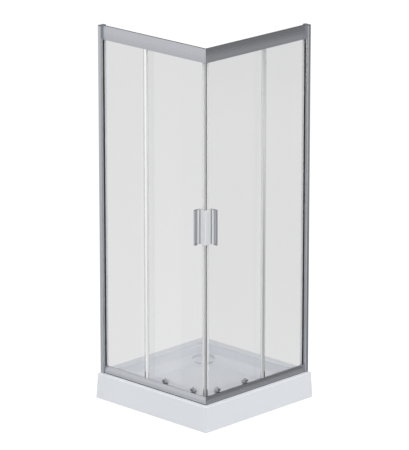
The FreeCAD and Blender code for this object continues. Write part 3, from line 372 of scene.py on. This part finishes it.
for node in sorted(nodes):
    kind = kindOf(node)
    looks, slot, width, steps = finishes[kind]
    looks = looks if isinstance(looks, list) else [looks]
    shown = nodes[node]
    if width:
        shown = softened(node, kind, looks, width, steps)
    else:
        shown.data.materials.clear()
        shown.data.materials.append(looks[0])
    if kind in seeThrough:  # lets lamp and room light through to the tray
        shown.visible_shadow = False
        shown.visible_diffuse = False
print("pieces dressed:", len(nodes))

# Small trim on both sides, drawn for the front in mm along the side, in depth and in height: a dark strip beside the
# handle's web, painted shade for the shadow in the corner between web and flange; the magnets in the door seals; a dark
# strip under the sill, painted shadow for the contact shadow there; dark plugs at the foot of the overlap seals,
# painted shade for the gap where the seal's fin is cut away; the dark clips at the feet of the magnet seals; and the
# wedges behind the fixed panes. Its body is the side's door unless it names one.
trims = {
    # a dark strip beside the handle's web: painted shade for the shadow in the corner between web and flange
    "HandleInlay": {"look": blackRubber, "slot": "black_rubber", "along": (284.3, 287.8), "depth": (73.8, 74.6),
                    "height": (967, 1148), "soft": 0.3},
    # the magnets' rubber is painted paler on the front door and darker on the side door: painted light and shade
    "SealMagnet": {"look": ferriteRubberPaintedLitAndShaded, "slot": "black_rubber", "along": (313.35, 321.35),
                   "depth": (78.15, 81.15), "height": (152, 1916), "soft": 0.3, "turn": -45},
    # a dark strip under the sill's foot: painted shadow for the contact shadow between sill and tray
    "SillStrip": {"body": "frame", "look": blackRubber, "slot": "black_rubber", "along": (-379, 400),
                  "depth": (38.5, 41.5), "height": (132, 135), "soft": 0.5, "mitred": True},
    # a dark plug at the foot of the overlap seal: painted shade for the gap where the seal's fin is cut away
    "OverlapClip": {"body": "frame", "look": blackAbs, "slot": "dark_plastic", "along": (-90, -85.3),
                    "depth": (50.4, 53), "height": (170.2, 204), "soft": 0.5},
    "PaneWedge": {"body": "frame", "look": whiteVinyl, "slot": "white_vinyl", "along": (-379, -377.4),
                  "depth": (59.4, 71.3), "height": (170.3, 1920.2), "soft": 0.5},
    "MagnetClip": {"look": blackAbs, "slot": "dark_plastic", "along": (308, 312), "depth": (76.4, 78),
                   "height": (151, 196), "soft": 0.4},
}
trimSteps = 2  # of its rounded edges


def trim(name, side, shape):
    spans = (shape["along"], [end - halfFoot for end in shape["depth"]], shape["height"])
    centre = Matrix.Translation([(low + high) / 2 * mm for low, high in spans])
    turned = Matrix.Rotation(math.radians(shape.get("turn", 0)), 4, "Z")
    size = Matrix.Diagonal([(high - low) * mm for low, high in spans] + [1])
    work = bmesh.new()
    bmesh.ops.create_cube(work, size=1, matrix=centre @ turned @ size)
    if "mitred" in shape:
        bmesh.ops.bisect_plane(work, geom=wholeOf(work), plane_co=(0, 0, 0), plane_no=(1, 1, 0), clear_outer=True)
        bmesh.ops.holes_fill(work, edges=work.edges)
    breakEdges(work, work.edges[:], shape["soft"], trimSteps)
    if side == "side":
        bmesh.ops.transform(work, matrix=acrossDiagonal, verts=work.verts)
    look = shape["look"][side] if isinstance(shape["look"], dict) else shape["look"]
    finishPiece(side + name, work, [look], shape.get("body", side + "_door"))


for side in sides:
    for name, shape in trims.items():
        trim(name, side, shape)

# The waste cover's turned-down rim, which leaves a slit for the water over the tray: its middle, radius and wall, and
# how far its top and foot lie under the cover's top, in mm.
coverRim = {"centre": (-278, 278), "radius": 54.2, "wall": 2, "top": 2.5, "foot": 7.6, "soft": 0.5, "steps": 96}
cover = nodes["drain_cover"]
coverTop = max(corner[2] for corner in cover.bound_box)
rimMiddle = Matrix.Translation((coverRim["radius"] * mm, 0,
                                coverTop - (coverRim["top"] + coverRim["foot"]) / 2 * mm))
rimSize = Matrix.Diagonal((coverRim["wall"] * mm, (coverRim["foot"] - coverRim["top"]) * mm, 1, 1))
upright = Matrix.Rotation(math.radians(90), 4, "X")
work = bmesh.new()
bmesh.ops.create_grid(work, x_segments=1, y_segments=1, size=0.5, matrix=rimMiddle @ upright @ rimSize)
bmesh.ops.delete(work, geom=work.faces[:], context="FACES_ONLY")
bmesh.ops.spin(work, geom=work.verts[:] + work.edges[:], cent=(0, 0, 0), axis=(0, 0, 1), angle=math.tau,
               steps=coverRim["steps"], use_merge=True)
breakEdges(work, sharpEdges(work), coverRim["soft"], trimSteps)
bmesh.ops.translate(work, vec=[part * mm for part in coverRim["centre"]] + [0], verts=work.verts)
finishPiece("drainCoverRim", work, [castAcrylic], cover["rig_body"])
print("trim:", len(trims) * len(sides) + 1)

# The studio: a white room, whose light on dull surfaces is dimmer, and a pale floor. The camera, and what metal
# and glass mirror, see the room as white.
studio = {"room": 0.42, "floorTone": "#CFCFCF", "floorSize": 60, "glow": 0.96, "shade": 0.15}
pureWhite = linear("#FFFFFF")


def seenDirectly(tree):
    path = put(tree, "LightPath")
    direct = put(tree, "Math", {"operation": "MAXIMUM"},
                 {0: path.outputs["Is Camera Ray"], 1: path.outputs["Is Transmission Ray"]})
    return put(tree, "Math", {"operation": "MAXIMUM"},
               {0: direct.outputs[0], 1: path.outputs["Is Glossy Ray"]}).outputs[0]


def stagePlane(name, look, matrix):
    work = bmesh.new()
    bmesh.ops.create_grid(work, x_segments=1, y_segments=1, size=0.5, matrix=matrix)
    mesh = bpy.data.meshes.new(name)
    work.to_mesh(mesh)
    work.free()
    mesh.materials.append(look)
    plane = bpy.data.objects.new(name, mesh)
    bpy.context.scene.collection.objects.link(plane)
    plane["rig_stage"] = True
    return plane


world = blank("whiteStudio", world=True)
bpy.context.scene.world = world
tree = world.node_tree
room = put(tree, "Background", {"Color": pureWhite, "Strength": studio["room"]})
backdrop = put(tree, "Background", {"Color": pureWhite, "Strength": 1})
seen = put(tree, "MixShader", {}, {0: seenDirectly(tree), 1: room.outputs[0], 2: backdrop.outputs[0]})
put(tree, "OutputWorld", {}, {"Surface": seen.outputs[0]})

paleFloor = blank("paleStudioFloor")
tree = paleFloor.node_tree
tone = put(tree, "BsdfDiffuse", {"Color": linear(studio["floorTone"])})
glow = put(tree, "Emission", {"Color": pureWhite, "Strength": studio["glow"]})
shade = put(tree, "BsdfDiffuse", {"Color": [studio["shade"]] * 3 + [1]})
white = put(tree, "AddShader", {}, {0: glow.outputs[0], 1: shade.outputs[0]})
seen = put(tree, "MixShader", {}, {0: seenDirectly(tree), 1: tone.outputs[0], 2: white.outputs[0]})
put(tree, "OutputMaterial", {}, {"Surface": seen.outputs[0]})
floor = stagePlane("studioFloor", paleFloor, Matrix.Scale(studio["floorSize"], 4))
floor.visible_glossy = False

# Cards that only the mirroring surfaces see: a pale one on the left with a narrow bright strip before it, a dim one on
# the right with two paler strips before it that rise and fall in tone, and a grey one behind. Each stands some metres
# away and fades from its lower tone to its upper tone between two heights.
wideCard = {"aside": 0, "width": 16, "middle": 0, "height": 16}
left, right, behind = (-1, -1), (1, 1), (-1, 1)
cards = {
    "leftStrip": {**wideCard, "towards": left, "away": 4.9, "aside": 0.25, "width": 0.22,
                  "lower": 1.05, "upper": 1.05, "heights": (-1, 1)},
    "leftCard": {**wideCard, "towards": left, "away": 5, "lower": 0.62, "upper": 1.03, "heights": (-1.6, 0.8)},
    "rightCard": {**wideCard, "towards": right, "away": 5, "lower": 0.6, "upper": 0.29, "heights": (-3, -1)},
    "rightRise": {**wideCard, "towards": right, "away": 4.9, "middle": -0.175, "height": 0.85,
                  "lower": 0.29, "upper": 0.65, "heights": (-0.6, 0.25)},
    "rightFall": {**wideCard, "towards": right, "away": 4.9, "middle": 0.675, "height": 0.85,
                  "lower": 0.65, "upper": 0.29, "heights": (0.25, 1.1)},
    "backCard": {**wideCard, "towards": behind, "away": 6, "lower": 0.93, "upper": 0.62, "heights": (0, 4)},
}
for name, card in cards.items():
    look = blank(name + "Tone")
    tree = look.node_tree
    coords = put(tree, "TexCoord")
    place = put(tree, "SeparateXYZ", {}, {0: coords.outputs["Object"]})
    tone = put(tree, "MapRange", {"From Min": card["heights"][0], "From Max": card["heights"][1],
                                  "To Min": card["lower"], "To Max": card["upper"]},
               {"Value": place.outputs["Z"]})
    glow = put(tree, "Emission", {"Color": pureWhite}, {"Strength": tone.outputs[0]})
    put(tree, "OutputMaterial", {}, {"Surface": glow.outputs[0]})
    outwards = Vector((*card["towards"], 0)).normalized()
    beside = Vector((0, 0, 1)).cross(outwards)
    spot = outwards * card["away"] + beside * card["aside"] + Vector((0, 0, card["middle"]))
    standing = Matrix.Translation(spot) @ (-outwards).to_track_quat("Z", "Y").to_matrix().to_4x4()
    plane = stagePlane(name, look, standing @ Matrix.Diagonal((card["width"], card["height"], 1, 1)))
    plane.visible_camera = plane.visible_diffuse = plane.visible_transmission = plane.visible_shadow = False

# Soft boxes: where they stand, their size and power, all turned to the middle of the enclosure. Nothing mirrors them.
middle = Vector((0, 0, 0.95))
lamps = {
    "keyLamp": {"at": (4.7, -4.2, 3.6), "size": 7, "power": 150},
    "topLamp": {"at": (0.3, -0.3, 5.5), "size": 3, "power": 128},
    "leftLamp": {"at": (-4.8, -4.8, 2.4), "size": 3, "power": 95},
    "rightLamp": {"at": (4.8, 4.8, 2.4), "size": 3, "power": 120},
}
for name, lamp in lamps.items():
    light = bpy.data.lights.new(name, "AREA")
    light.size = lamp["size"]
    light.energy = lamp["power"]
    holder = bpy.data.objects.new(name, light)
    holder.location = lamp["at"]
    holder.visible_glossy = False
    holder.rotation_euler = (middle - Vector(lamp["at"])).to_track_quat("-Z", "Y").to_euler()
    bpy.context.scene.collection.objects.link(holder)

# The camera stands where the photograph was taken from, far off with a long lens: degrees, metres, and mm for the lens
# and its sensor.
photoView = {"azimuth": 44.27, "elevation": 16.43, "aim": (0.0177, -0.0177, 0.9465), "distance": 19.01,
             "lens": 295, "sensor": 36, "farEnd": 200}
turn, rise = math.radians(photoView["azimuth"]), math.radians(photoView["elevation"])
back = Vector((math.sin(turn) * math.cos(rise), -math.cos(turn) * math.cos(rise), math.sin(rise)))
camera = bpy.data.objects.new("photoCamera", bpy.data.cameras.new("photoCamera"))
camera.data.lens = photoView["lens"]
camera.data.sensor_width = photoView["sensor"]
camera.data.clip_end = photoView["farEnd"]
camera.location = Vector(photoView["aim"]) + back * photoView["distance"]
camera.rotation_euler = (-back).to_track_quat("-Z", "Y").to_euler()
bpy.context.scene.collection.objects.link(camera)
bpy.context.scene.camera = camera
bpy.context.scene.view_settings.view_transform = "Standard"
print("studio set")

sizes = {"cad": [list(corner) for corner in cadBox], "visual": [list(corner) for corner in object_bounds()]}
